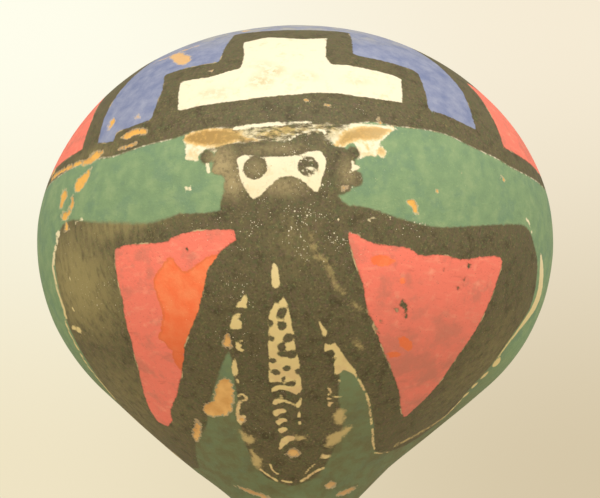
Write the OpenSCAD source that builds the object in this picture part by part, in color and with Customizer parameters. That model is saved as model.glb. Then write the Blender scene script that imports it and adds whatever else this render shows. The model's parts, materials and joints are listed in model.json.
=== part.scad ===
// A maraca: a hollow painted gourd on a turned wooden handle, with loose seeds inside.
// It stands upright: +Z runs up the handle's axis, and z = 0 is the flat end of the handle.
// Millimetres.

/* [Head] */
// Widest diameter of the gourd
head_d = 100; // [85:1:115]
// Height of the dome above the widest line
dome_h = 42.3; // [38:0.1:48]
// Fullness of the dome, where 2 is a plain ellipse
dome_power = 1.93; // [1.8:0.01:2.3]
// Radius of the turn from the widest line down to the cone
turn_r = 37.1; // [32:0.1:40]
// Angle between the cone and the axis
cone_angle = 50.1; // [46:0.1:54]
// Thickness of the dried shell
wall = 3; // [2:0.1:4]

/* [Neck] */
// Outer diameter of the gourd's neck and of the grip
neck_d = 22; // [20:0.5:26]
// Length of the neck below the corner that the cone would make with it
neck_len = 8; // [6:0.5:12]
// Radius of the hollow where the cone runs into the neck
neck_blend_r = 4; // [2:0.5:5]
// Bevel on the neck's end and on the shoulder of the handle, which holds the putty
bevel = 1.2; // [0.8:0.1:1.6]
// How far the putty stands out of the joint
putty_proud = 0.7; // [0.3:0.1:1.2]

/* [Handle] */
// Length of the grip, from its flat end to the shoulder that meets the neck
grip_len = 112; // [90:1:115]
// Radius of the rounded edge of the flat end
butt_round = 3; // [1:0.5:4]
// Diameter of the tenon that is glued into the neck
tenon_d = 15; // [13:0.5:15]
// Length of the tenon above the shoulder
tenon_len = 22; // [14:1:24]
// Glue gap round the tenon
glue_gap = 0.1; // [0.05:0.01:0.15]

/* [Pegs] */
// Diameter of a peg through the neck into the tenon
peg_d = 2.4; // [2:0.1:3]
// Length of a peg
peg_len = 7.5; // [6:0.5:8]
// Clearance round a peg
peg_gap = 0.03; // [0.02:0.01:0.05]

/* [Seeds] */
// Length of the longest seed
seed_len = 7.4; // [6:0.1:7.4]
// Width of the longest seed
seed_w = 6.2; // [5:0.1:6.2]
// Seeds in the ring next to the tenon
inner_seeds = 9; // [6:1:9]
// Seeds in the ring outside it
outer_seeds = 15; // [8:1:15]
// Clear space round every seed
seed_gap = 0.5; // [0.3:0.1:0.5]

/* [Hidden] */
$fn = 96;
head_r = head_d / 2;
neck_r = neck_d / 2;
tenon_r = tenon_d / 2;
bore_r = tenon_r + glue_gap;
arc_steps = 20;
dome_steps = 30;
small_steps = 6;

// The turn is an arc that leaves the widest line upright and ends along the cone.
turn_centre_r = head_r - turn_r;
turn_end_r = turn_centre_r + turn_r * cos(cone_angle);
turn_drop = turn_r * sin(cone_angle);
corner_drop = turn_drop + (turn_end_r - neck_r) / tan(cone_angle);

// Heights along the axis
shoulder_z = grip_len;
corner_z = shoulder_z + neck_len;
widest_z = corner_z + corner_drop;
blend_z = corner_z - neck_blend_r * tan(cone_angle / 2);
peg_z = shoulder_z + neck_len / 2;

// The inside of the cone is the outside moved in by the wall.
inner_turn_r = turn_r - wall;
inner_turn_end_r = turn_centre_r + inner_turn_r * cos(cone_angle);
inner_turn_end_z = widest_z - inner_turn_r * sin(cone_angle);
function inner_cone_z(r) = inner_turn_end_z - (inner_turn_end_r - r) / tan(cone_angle);

// Half a seed's length, and the ring radii, which leave every seed its own clear column
seed_half = seed_len / 2;
inner_ring_r = tenon_r + seed_gap + seed_half + 0.1;
outer_ring_r = inner_ring_r + seed_len + seed_gap + 0.1;
seed_count = inner_seeds + outer_seeds;
// The sharp end of a seed is narrower than its blunt end by this share each way.
seed_taper = 0.14;
golden_angle = 137.5;

function seed_name(i) = str("seed_", i < 10 ? "0" : "", i);

// Points of an arc in the half plane, from angle a0 to a1
function arc(centre, r, a0, a1, steps) = [
    for (k = [0:steps])
        let (a = a0 + (a1 - a0) * k / steps)
        centre + r * [cos(a), sin(a)]
];

// The dome from the crown down to the widest line, as a superellipse
function dome(r, h) = [
    for (k = [dome_steps:-1:1])
        let (a = 90 * k / dome_steps)
        [r * pow(max(cos(a), 0), 2 / dome_power), widest_z + h * pow(sin(a), 2 / dome_power)]
];

// The turn, from the widest line to the start of the cone
function turn(r) = arc([turn_centre_r, widest_z], r, 0, -cone_angle, arc_steps);

function outer_profile() = concat(
    dome(head_r, dome_h),
    turn(turn_r),
    arc([neck_r + neck_blend_r, blend_z], neck_blend_r, 180 - cone_angle, 180, small_steps),
    [[neck_r, shoulder_z + bevel], [neck_r - bevel, shoulder_z]]
);

function inner_profile() = concat(
    dome(head_r - wall, dome_h - wall),
    turn(inner_turn_r),
    [[bore_r, inner_cone_z(bore_r)], [bore_r, shoulder_z]]
);

function reversed(points) = [for (k = [len(points) - 1:-1:0]) points[k]];

// A rod along X from x0 to x1 at the height of the pegs
module cross_rod(r, x0, x1) {
    translate([x0, 0, peg_z])
        rotate([0, 90, 0])
            cylinder(r = r, h = x1 - x0, $fn = 32);
}

module peg_hole(side) {
    mirror([side < 0 ? 1 : 0, 0, 0])
        cross_rod(peg_d / 2 + peg_gap, neck_r - peg_len, neck_r + 1);
}

module peg(side) {
    color("burlywood")
        mirror([side < 0 ? 1 : 0, 0, 0])
            cross_rod(peg_d / 2, neck_r - peg_len, neck_r);
}

// The hollow gourd, open at its neck
module gourd_shell() {
    color("seagreen")
        difference() {
            rotate_extrude()
                polygon(concat(outer_profile(), reversed(inner_profile())));
            peg_hole(1);
            peg_hole(-1);
        }
}

// The grip, with a rounded flat end, a bevelled shoulder and the tenon
module handle() {
    color("peru")
        difference() {
            rotate_extrude()
                polygon(concat(
                    [[0, 0]],
                    arc([neck_r - butt_round, butt_round], butt_round, -90, 0, small_steps),
                    [
                        [neck_r, shoulder_z - bevel],
                        [neck_r - bevel, shoulder_z],
                        [tenon_r, shoulder_z],
                        [tenon_r, shoulder_z + tenon_len - bevel],
                        [tenon_r - bevel, shoulder_z + tenon_len],
                        [0, shoulder_z + tenon_len]
                    ]
                ));
            peg_hole(1);
            peg_hole(-1);
        }
}

// The bead of putty in the groove between the shoulder and the neck
module neck_putty() {
    color("darkkhaki")
        rotate_extrude()
            polygon([
                [neck_r - bevel, shoulder_z],
                [neck_r, shoulder_z - bevel],
                [neck_r + putty_proud, shoulder_z - bevel / 2],
                [neck_r + putty_proud, shoulder_z + bevel / 2],
                [neck_r, shoulder_z + bevel]
            ]);
}

// The half outline of an egg, from its blunt end to its sharp end
function seed_profile() = [
    for (k = [-small_steps:small_steps])
        let (a = 90 * k / small_steps)
        [abs(k) == small_steps ? 0 : seed_w / 2 * cos(a) * (1 - seed_taper * sin(a)), seed_half * sin(a)]
];

// Seeds 1 to inner_seeds sit in the inner ring, and the rest in the outer one.
function in_inner_ring(i) = i <= inner_seeds;
function ring_r(i) = in_inner_ring(i) ? inner_ring_r : outer_ring_r;
function ring_angle(i) = in_inner_ring(i)
    ? 360 * (i - 1) / inner_seeds
    : 360 * (i - inner_seeds - 0.5) / outer_seeds;
// Every fifth seed is full size, and the others are up to an eighth smaller.
function seed_scale(i) = 1 - (i % 5) / 32;
// A seed's centre rests this far above the inside of the cone.
function seed_rest_z(i) = inner_cone_z(ring_r(i)) + (seed_half + seed_gap) / sin(cone_angle);

module seed(i) {
    color("saddlebrown")
        rotate([0, 0, ring_angle(i)])
            translate([ring_r(i), 0, seed_rest_z(i)])
                rotate([50 + golden_angle * i, 0, golden_angle * i])
                    scale(seed_scale(i))
                        rotate_extrude($fn = 48)
                            polygon(seed_profile());
}

gourd_shell();
handle();
neck_putty();
peg(-1);  // peg_left
peg(1);  // peg_right
for (i = [1:seed_count])
    seed(i);
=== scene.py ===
"""The looks of a painted gourd maraca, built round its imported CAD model.

Lengths in this file are millimetres, and turn into Blender's metres where a mesh is made.
A place on the gourd is (degrees, up): degrees round it from the front, which faces -Y,
positive towards +X, and the length along its outline up from its widest line.
"""

import json
import math

import bmesh
import bpy
import numpy as np
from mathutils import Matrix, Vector, noise

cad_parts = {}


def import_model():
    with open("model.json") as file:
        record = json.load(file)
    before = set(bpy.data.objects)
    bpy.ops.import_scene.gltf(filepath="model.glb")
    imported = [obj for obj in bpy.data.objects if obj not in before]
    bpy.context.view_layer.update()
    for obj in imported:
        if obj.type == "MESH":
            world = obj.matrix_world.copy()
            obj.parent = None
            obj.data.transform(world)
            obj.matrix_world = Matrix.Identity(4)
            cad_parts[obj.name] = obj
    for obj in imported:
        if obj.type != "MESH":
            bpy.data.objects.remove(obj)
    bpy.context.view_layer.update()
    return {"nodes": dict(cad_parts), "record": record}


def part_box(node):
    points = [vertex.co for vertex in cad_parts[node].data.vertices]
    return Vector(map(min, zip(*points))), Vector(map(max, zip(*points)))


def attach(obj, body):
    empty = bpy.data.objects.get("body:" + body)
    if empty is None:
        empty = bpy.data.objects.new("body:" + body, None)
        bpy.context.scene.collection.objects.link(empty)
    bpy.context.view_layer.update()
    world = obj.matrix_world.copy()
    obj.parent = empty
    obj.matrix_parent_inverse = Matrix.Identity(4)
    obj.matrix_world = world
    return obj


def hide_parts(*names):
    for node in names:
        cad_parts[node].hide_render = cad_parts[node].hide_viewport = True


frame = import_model()

MM = 0.001

# ---------------------------------------------------------------- sizes, as in the CAD model

shell_low, shell_high = (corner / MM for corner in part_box("gourd_shell"))
handle_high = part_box("handle")[1] / MM
putty_low, putty_high = (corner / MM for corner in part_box("neck_putty"))

HEAD_R = shell_high.x
CROWN_Z = shell_high.z
SHOULDER_Z = shell_low.z
DOME_H = 42.3
DOME_POWER = 1.93
TURN_R = 37.1
CONE = math.radians(50.1)
WALL = 3.0
NECK_R = 11.0
NECK_LEN = 8.0
NECK_BLEND_R = 4.0
BEVEL = 1.2
BORE_R = 7.6
TENON_R = 7.5
BUTT_ROUND = 3.0
TOOL_PITCH = 3.1
WIDEST_Z = CROWN_Z - DOME_H
CORNER_Z = SHOULDER_Z + NECK_LEN
PEG_Z = SHOULDER_Z + NECK_LEN / 2
PEG_R = 1.2
PEG_LEN = 7.5
PEG_CROWN = 0.1

# ---------------------------------------------------------------- mesh helpers


def noise_at(points, size, seed=0.0):
    """Smooth noise from about -1 to 1 at points in mm, with features about size mm across."""
    return np.array([noise.noise(Vector(p) / size + Vector((seed, 2 * seed, -seed))) for p in points])


def mesh_object(name, vertices, faces, material, sharp=40.0):
    """A smooth-shaded object from vertices in mm."""
    mesh = bpy.data.meshes.new(name)
    mesh.from_pydata((np.asarray(vertices) * MM).tolist(), [], faces)
    work = bmesh.new()
    work.from_mesh(mesh)
    bmesh.ops.recalc_face_normals(work, faces=work.faces)
    work.to_mesh(mesh)
    work.free()
    mesh.shade_smooth()
    mesh.set_sharp_from_angle(angle=math.radians(sharp))
    mesh.materials.append(material)
    thing = bpy.data.objects.new(name, mesh)
    bpy.context.scene.collection.objects.link(thing)
    return thing


def ring_faces(rows, columns):
    """Quads between the rings of a turned shape whose first and last vertices are its two poles."""
    starts = [1 + row * columns for row in range(rows)]
    last_pole = 1 + rows * columns
    faces = []
    for k in range(columns):
        nxt = (k + 1) % columns
        faces.append((0, starts[0] + nxt, starts[0] + k))
        faces.append((last_pole, starts[-1] + k, starts[-1] + nxt))
        for a, b in zip(starts, starts[1:]):
            faces.append((a + k, a + nxt, b + nxt, b + k))
    return faces


def arc(centre, radius, start, end, steps):
    """Points (r, z) of an arc in the half plane, between two angles in radians."""
    angles = np.linspace(start, end, steps)
    return np.c_[centre[0] + radius * np.cos(angles), centre[1] + radius * np.sin(angles)]


def resample(line, step):
    """Points about step mm apart along an (r, z) line."""
    length = np.r_[0, np.cumsum(np.hypot(*np.diff(line, axis=0).T))]
    at = np.linspace(0, length[-1], max(2, int(round(length[-1] / step)) + 1))
    return np.c_[np.interp(at, length, line[:, 0]), np.interp(at, length, line[:, 1])]


def finish_piece(piece, body, slot, *nodes):
    """The piece rides on its CAD body and stands for its nodes. The slot argument is not used."""
    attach(piece, body)
    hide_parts(*nodes)


# ---------------------------------------------------------------- the gourd's outline


def dome(radius, height):
    """The crown down to the widest line, a superellipse in (r, z)."""
    t = np.linspace(math.pi / 2, 0, 600)
    power = 2 / DOME_POWER
    cos_t = np.clip(np.cos(t), 0, 1)
    return np.c_[radius * cos_t**power, WIDEST_Z + height * np.sin(t) ** power]


def turn(radius):
    """The turn from the widest line to the cone."""
    return arc((HEAD_R - TURN_R, WIDEST_Z), radius, 0, -CONE, 200)


def outer_line():
    """The outside, from the crown to the bevel at the neck's end."""
    blend_z = CORNER_Z - NECK_BLEND_R * math.tan(CONE / 2)
    blend = arc((NECK_R + NECK_BLEND_R, blend_z), NECK_BLEND_R, math.pi - CONE, math.pi, 40)
    end = [(NECK_R, SHOULDER_Z + BEVEL), (NECK_R - BEVEL, SHOULDER_Z)]
    return np.r_[dome(HEAD_R, DOME_H), turn(TURN_R)[1:], blend, end]


def inner_line():
    """The inside, from the neck's end up the bore and the cone to the crown."""
    wall_turn = turn(TURN_R - WALL)
    end_r, end_z = wall_turn[-1]
    cone_z = end_z - (end_r - BORE_R) / math.tan(CONE)
    bore = [(BORE_R, SHOULDER_Z), (BORE_R, cone_z)]
    return np.r_[bore, wall_turn[::-1], dome(HEAD_R - WALL, DOME_H - WALL)[::-1][1:]]


class Outline:
    """The outside as functions of the length up from the widest line."""

    def __init__(self):
        line = outer_line()
        run = np.r_[0, np.cumsum(np.hypot(*np.diff(line, axis=0).T))]
        run -= np.interp(-WIDEST_Z, -line[:, 1], run)
        self.top, self.bottom = -run[0], -run[-1]
        self.up = -run[::-1]
        self.r, self.z = line[::-1].T

    def at(self, up):
        """Radius, height and outward normal at each length."""
        r, z = np.interp(up, self.up, self.r), np.interp(up, self.up, self.z)
        step = 0.3
        dr = np.interp(up + step, self.up, self.r) - np.interp(up - step, self.up, self.r)
        dz = np.interp(up + step, self.up, self.z) - np.interp(up - step, self.up, self.z)
        size = np.hypot(dr, dz)
        return r, z, dz / size, -dr / size


# ---------------------------------------------------------------- measuring the painted shapes

FAR = 3.0


def smooth(points, closed=True, steps=4):
    """A Catmull-Rom curve through the points."""
    p = np.asarray(points, float)
    if closed:
        p = np.r_[p[-1:], p, p[:2]]
    else:
        p = np.r_[2 * p[:1] - p[1:2], p, 2 * p[-1:] - p[-2:-1]]
    out = []
    for a, b, c, d in zip(p, p[1:], p[2:], p[3:]):
        for k in range(steps):
            t = k / steps
            square, cube = 2 * a - 5 * b + 4 * c - d, 3 * b - a - 3 * c + d
            out.append(0.5 * (2 * b + (c - a) * t + square * t**2 + cube * t**3))
    if not closed:
        out.append(p[-2])
    return np.array(out)


def union(*fields):
    return np.maximum.reduce(fields)


def without(field, *holes):
    return np.minimum(field, -union(*holes))


class Chart:
    """The outside's vertices in one figure's own degrees, and how far they lie from painted shapes.

    Every field is in mm: above 0 inside a shape, below 0 outside it, and no more than FAR either way.
    """

    def __init__(self, degrees, up, radius, facing, shake):
        drift, lift = shake
        self.mm = np.maximum(radius, 1.0) * math.pi / 180
        self.degrees = (degrees - facing + 180) % 360 - 180 + drift / self.mm
        self.up = up + lift

    def _near(self, points):
        low, high = points.min(0), points.max(0)
        reach = FAR / self.mm
        across = (self.degrees > low[0] - reach) & (self.degrees < high[0] + reach)
        return np.flatnonzero(across & (self.up > low[1] - FAR) & (self.up < high[1] + FAR))

    def _measure(self, points, closed):
        """The vertices near a line, their distance from it and whether they are inside it."""
        near = self._near(points)
        x, y, mm = self.degrees[near], self.up[near], self.mm[near]
        best = np.full(len(near), FAR)
        inside = np.zeros(len(near), bool)
        ends = np.roll(points, -1, axis=0) if closed else points[1:]
        for (ax, ay), (bx, by) in zip(points, ends):
            dx, dy = (bx - ax) * mm, by - ay
            px, py = (x - ax) * mm, y - ay
            t = np.clip((px * dx + py * dy) / np.maximum(dx * dx + dy * dy, 1e-9), 0, 1)
            best = np.minimum(best, np.hypot(px - t * dx, py - t * dy))
            crosses = (ay > y) != (by > y)
            slope = (bx - ax) / (by - ay) if by != ay else 0.0
            inside ^= crosses & (x < ax + (y - ay) * slope)
        return near, best, inside

    def region(self, points, corners=False):
        """A filled shape. Its outline is curved through the points, or straight if it has corners."""
        outline = np.asarray(points, float) if corners else smooth(points)
        near, best, inside = self._measure(outline, True)
        field = np.full(len(self.up), -FAR)
        field[near] = np.where(inside, best, -best)
        return field

    def regions(self, *outlines, corners=False):
        return union(*[self.region(points, corners) for points in outlines])

    def line(self, points, width):
        """A brush line of that width in mm."""
        near, best, _ = self._measure(smooth(points, closed=False), False)
        field = np.full(len(self.up), -FAR)
        field[near] = width / 2 - best
        return field

    def lines(self, *rows):
        """Brush lines, each row with its width first."""
        return union(*[self.line(points, width) for width, *points in rows])

    def spot(self, degrees, up, half_w, half_h, tilt=0.0):
        """An oval spot, tilted to the right by tilt degrees."""
        x, y = (self.degrees - degrees) * self.mm, self.up - up
        c, s = math.cos(math.radians(tilt)), math.sin(math.radians(tilt))
        u, v = x * c - y * s, x * s + y * c
        share = np.hypot(u / half_w, v / half_h)
        return np.clip((1 - share) * min(half_w, half_h), -FAR, FAR)

    def spots(self, rows):
        return union(*[self.spot(*row) for row in rows])

    def below(self, points):
        """Everything under an edge that runs round the gourd."""
        edge = smooth(points, closed=False)
        return np.clip(np.interp(self.degrees, edge[:, 0], edge[:, 1]) - self.up, -FAR, FAR)

    def glow(self, degrees, up, half_w, half_h):
        """A soft weight, 1 in the middle of an oval and 0 at its rim."""
        share = np.hypot((self.degrees - degrees) * self.mm / half_w, (self.up - up) / half_h)
        t = np.clip(1 - share, 0, 1)
        return t * t * (3 - 2 * t)

    def glows(self, *rows):
        """Soft weights, each row with its strength first."""
        return union(*[strength * self.glow(*place) for strength, *place in rows])

    def swelling(self, degrees, up, half_w, half_h, height):
        """A gentle rise of that height in mm."""
        across = (self.degrees - degrees) * self.mm
        return height * np.exp(-((across / half_w) ** 2) - ((self.up - up) / half_h) ** 2)


# ---------------------------------------------------------------- the painting

BAND_EDGE = [
    (-92, 6.5), (-65, 6.1), (-45, 6), (-38, 5.4), (-30, 5.9), (-24, 6.4), (-18, 7.4), (-8, 7.2), (0, 7.7),
    (10, 7.9), (15, 8.6), (20, 8.2), (30, 8.1), (36, 7), (45, 6), (53, 5.5), (74, 6.5), (92, 6.5),
]
CAP_EDGE = [
    (-92, 31), (-60, 31), (-50, 34), (-44, 37.6), (-18, 38.3), (0, 38.2), (18, 38.3), (44, 37.6), (50, 34),
    (60, 31), (92, 31),
]


def stepped_block(chart):
    """The pale stepped block at the front of the dome."""
    return chart.region([
        (-24, 12), (-10, 12.7), (4, 14), (8, 14.1), (22, 13.4), (24, 20), (12, 21.8), (8, 21.7), (7, 24.2),
        (9, 32.5), (2, 31.5), (-8, 33), (-14, 31.3), (-12, 24.8), (-12, 20.9), (-19, 19.3), (-26, 19.3),
    ], corners=True)


def block_stains(chart):
    """Soft ochre stains on the pale block."""
    return chart.glows(
        (1, -7, 16.9, 3.5, 2.4), (1, -4.8, 19.6, 3.5, 2.2), (0.6, -16.5, 14.9, 5, 2),
        (0.5, -7.5, 21.7, 4, 2), (0.6, 2.2, 18.1, 4, 2), (0.5, 13.2, 17.9, 4, 1.8),
    )


def blue_parts(chart):
    """The stepped blue blocks on both sides of the pale one, and the blue cap that they run up into."""
    left = chart.region([
        (-20, 39), (-18, 24), (-26, 23.7), (-32, 22.7), (-30, 18), (-30, 11.2), (-39, 10.4), (-39, 8.5),
        (-44, 9.2), (-46, 15), (-47, 22), (-47, 39),
    ], corners=True)
    right = chart.region([
        (18, 39), (14, 25.7), (24, 24.3), (30, 23.2), (29, 17.6), (28, 12.5), (32, 12.4), (40, 10.9),
        (40, 13.4), (42, 20.5), (42, 39),
    ], corners=True)
    return union(left, right, -chart.below(CAP_EDGE))


def red_steps(chart):
    """The red blocks on the dome's sides, which run on round to the figure at the back."""
    return chart.regions(
        [(-96, 9.5), (-70, 9), (-50, 9.4), (-52, 16), (-57, 23), (-60, 26), (-96, 27)],
        [(96, 9.5), (70, 9), (48, 9.3), (49, 16), (50, 22), (50, 26), (96, 27)],
        corners=True,
    )


def wings(chart):
    """The wings. Below their panels they run on round the gourd's sides."""
    left = chart.region([
        (-9, -5), (-12.6, -6), (-14, -6.8), (-18, -7), (-22, -6.8), (-27, -7.4), (-34, -7), (-45, -5.1),
        (-50, -3.9), (-55, -4.3), (-60, -9), (-62.5, -15), (-66, -21), (-69.5, -27.7), (-74, -32),
        (-84, -38), (-92, -46), (-88, -54), (-70, -56), (-58.5, -53.5), (-49, -50.2), (-44, -49),
        (-35, -46), (-28, -41), (-24, -37.5), (-17, -31), (-12, -27), (-6, -18),
    ])
    right = chart.region([
        (6, -5.5), (9.7, -6.3), (11.2, -6.3), (15.5, -6.8), (19.5, -7.6), (26, -8.3), (33, -7.6),
        (38, -6.8), (44, -5.7), (49, -4.7), (53, -4.4), (55.5, -5), (58.2, -6.8), (61.5, -9.2), (65, -13.7),
        (66.3, -17.3), (65, -20.7), (64, -25), (65, -30), (67.5, -36), (72, -41), (73, -46), (68, -50.5),
        (58, -53), (45, -53.5), (38, -50.5), (32, -46.5), (28, -43.5), (24, -40.5), (18, -36.5),
        (12, -31.5), (6, -25),
    ])
    return union(left, right)


def body_and_head(chart):
    body = chart.region([(-13, -4), (0, -3), (7, -5), (12, -16), (12, -32), (0, -34), (-15, -32), (-13, -16)])
    head = chart.region([
        (-13, 3.8), (-14.6, 2.6), (-15.1, 1.1), (-15.5, -0.2), (-14.8, -0.9), (-12.9, -1.6), (-12.9, -3.8),
        (-11.6, -5.2), (-11, -8), (7, -8), (7.7, -6), (7.4, -4.8), (10, -4), (11, -1), (10.8, 1.5),
        (9.2, 3.4), (7.2, 3.5), (5.5, 4.8), (3.8, 5.5), (1.8, 5.3), (0, 4.6), (-2, 4), (-7, 4.2),
        (-11, 4.2),
    ])
    blobs = chart.spots([(-16.5, 2.2, 1.1, 1.2), (10.7, 2.5, 1.1, 1.15), (11, -1.9, 1.2, 1.4)])
    return union(body, head, blobs)


def tail(chart):
    return chart.region([
        (-14, -27), (-16.5, -33), (-18, -38), (-19.5, -43), (-21, -47), (-22.5, -51), (-22.5, -55),
        (-20, -59.5), (-12, -61.3), (-2.5, -62.2), (7, -61.3), (14, -60), (18, -57.5), (19.5, -53),
        (20, -50), (18.5, -46.5), (16, -43.5), (14, -41), (12.5, -36), (10.5, -31), (8, -27),
    ])


def wing_panels(chart):
    """The red panels in the wings, with a few dark blots and a crack left showing through."""
    left = chart.region([
        (-37.8, -10.8), (-34, -10.5), (-29, -10.7), (-25.5, -11), (-24, -10.4), (-21, -9.9), (-15, -9.7),
        (-11.2, -10), (-11, -11.6), (-14, -13), (-17.5, -16), (-19, -19.3), (-21, -22.6), (-24.5, -26),
        (-27.8, -29), (-29, -31), (-33, -35), (-40, -39.3), (-47, -42.2), (-50.5, -44.5), (-56.5, -45.4),
        (-60, -43.9), (-58, -41.2), (-51, -35.9), (-46, -31.6), (-42.5, -26.6), (-41, -22.7),
        (-39.5, -19.3), (-39, -16),
    ], corners=True)
    right = chart.region([
        (10, -10.6), (14, -11.8), (18, -12), (22, -12.2), (25, -13.2), (30, -12.7), (35, -12.8),
        (41, -11.6), (46, -11.2), (46.5, -15), (46.5, -23), (46, -30), (47.5, -37), (46, -42.5),
        (44, -44.6), (38, -41.7), (32, -37.8), (25, -32.6), (20, -28), (16, -23.6), (14, -19.1),
        (11.5, -14.8),
    ])
    blots = chart.spots([
        (23.6, -21.6, 0.75, 0.45, 20), (24.5, -22.4, 0.3, 0.7), (22.4, -22.6, 0.5, 0.25, 30),
        (24.9, -23.6, 0.3, 0.4), (23, -20.9, 0.25, 0.3), (37.4, -13.6, 0.65, 0.42, -40),
        (36.6, -16.2, 0.4, 0.6), (35.8, -17.6, 0.4, 0.3), (19.2, -24.9, 0.4, 0.25), (31, -15, 0.2, 0.2),
        (-34, -17, 0.2, 0.2), (-21, -12.5, 0.2, 0.3),
    ])
    crack = chart.line([(13, -18.2), (14.8, -21.5), (16.8, -24.5), (19.8, -27.1)], 0.25)
    return without(union(left, right), blots, crack)


def wing_washes(chart):
    """Where the red of the panels has run and dried orange."""
    left = chart.region([
        (-24.8, -13.3), (-27, -14.6), (-29.5, -16.4), (-30.2, -18), (-30, -20.2), (-29.8, -22.5),
        (-32.2, -25.5), (-34, -27), (-32.8, -28), (-32.2, -29.5), (-28.5, -30.4), (-22, -28), (-14, -20),
        (-13, -14.5), (-16, -13.6), (-19.5, -15), (-22.2, -16), (-23.5, -14.8),
    ])
    return union(left, chart.spots([
        (17, -14.6, 2.0, 0.9), (22, -17.5, 0.5, 0.5), (27.4, -28.6, 2.0, 0.9, 35), (25.5, -31, 1.2, 0.6),
        (-31, -31.5, 1.1, 2.6, 10),
    ]))


def mask(chart):
    return chart.region([
        (-10.6, 1.4), (-9.5, 2.1), (-8.4, 2), (-7.4, 1.8), (-5.8, 1.5), (-2, 1.5), (0, 1.7), (1.2, 2.1),
        (2.6, 2.55), (4.5, 2.6), (5.2, 1.9), (5.6, 1.1), (5.5, -0.2), (5.1, -1.6), (4.3, -3.8), (3.8, -4.1),
        (2.6, -3.3), (1.6, -2.5), (0.5, -2), (-1, -1.7), (-2.9, -2), (-4.1, -2.8), (-6.1, -4.5),
        (-7.2, -5.2), (-8, -4.9), (-9, -3.5), (-9.8, -2.1), (-10.2, -0.6),
    ])


def eyes(chart):
    """The eyes, the right one scratched down to the pale paint."""
    scratches = union(
        chart.spot(2.9, -0.4, 0.8, 0.25, 10),
        chart.lines(
            (0.16, (1.2, 0.7), (2.0, 1.1), (3.0, 1.0)),
            (0.16, (1.3, -0.8), (2.4, -1.1), (3.3, -0.9)),
        ),
    )
    return without(chart.spots([(-7.3, -0.2, 1.9, 1.85, 20), (2.3, 0, 1.72, 1.65)]), scratches)


STRIPE_MARKS = [
    (-3, -23.7, 0.75, 1.2, 30), (-2.9, -26, 0.8, 0.85, 20), (-5.5, -25.6, 0.5, 0.65),
    (-1.5, -28.3, 0.8, 1.0, 40), (-5.5, -28.4, 0.45, 0.5), (-3.2, -29.9, 0.7, 0.8, 20),
    (-3, -31.4, 1.1, 0.65), (-0.8, -31.5, 0.85, 0.95, 30), (-5.9, -32.8, 0.6, 0.6),
    (-2.2, -34.5, 0.75, 0.65), (-5.4, -35.3, 0.8, 0.65, 30), (0.9, -35.3, 0.5, 0.6),
    (-3.2, -36.8, 0.35, 0.65, 20),
]


def stripe(chart):
    """The pale stripe down the middle of the tail, with its waves and dabs below."""
    upper = chart.region([
        (-2.5, -20.9), (-1.8, -22.1), (-1.4, -23.4), (-0.2, -27.5), (0.2, -30.4), (1.2, -33.8), (1.1, -36),
        (2, -37), (2.2, -39.2), (1.6, -40), (0.5, -40.4), (-2, -39.5), (-4.4, -39.1), (-7.4, -39.8),
        (-7.3, -38.9), (-5, -38.2), (-2.8, -38.3), (-0.8, -38.7), (0.3, -38.4), (0.5, -37.2), (-0.6, -37.4),
        (-2.8, -37.7), (-4.6, -37.5), (-7.7, -37.6), (-7, -34), (-6.5, -30), (-5.9, -27), (-5.9, -24.4),
        (-5.2, -23.1), (-4.4, -21.9), (-3.6, -22),
    ], corners=True)
    top = chart.region([(-4.6, -16), (-3.7, -15.8), (-3.2, -18), (-3.4, -19.4), (-4.7, -19.4)])
    wave = chart.region([
        (-7.6, -41.9), (-6.5, -41.2), (-4.3, -41.3), (-1.8, -41.9), (0, -42.6), (1.5, -41.5), (2.1, -41.1),
        (2.1, -43), (1, -43.4), (-1.8, -42.4), (-4.3, -42), (-6.4, -42.4), (-7.8, -42.6),
    ], corners=True)
    arches = chart.regions(
        [(-7.8, -44), (-5.5, -43.4), (-3.8, -43.6), (-2.8, -44.3), (-4.8, -44.5), (-7, -45.2)],
        [(-7, -46.2), (-5.2, -45.7), (-3.5, -45.8), (-2.8, -46.4), (-4.5, -46.6), (-6.5, -47.3)],
        [(-6.6, -48.2), (-4.8, -47.8), (-3, -48.2), (-3.8, -48.8), (-5.8, -49.3)],
        [
            (-7.8, -52.9), (-7, -51.5), (-5.2, -50.3), (-2.8, -49.9), (-0.2, -50.2), (-0.5, -50.9),
            (-3, -51.5), (-5.2, -52.4), (-7, -53.1),
        ],
    )
    triangle = chart.region([(1.4, -44), (2.4, -45.6), (0.8, -45.6)], corners=True)
    dabs = chart.spots([(2, -46.9, 0.25, 0.35), (-4.3, -40.6, 0.3, 0.2)])
    marks = chart.spots(STRIPE_MARKS)
    return union(without(upper, marks), top, wave, arches, triangle, dabs)


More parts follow.
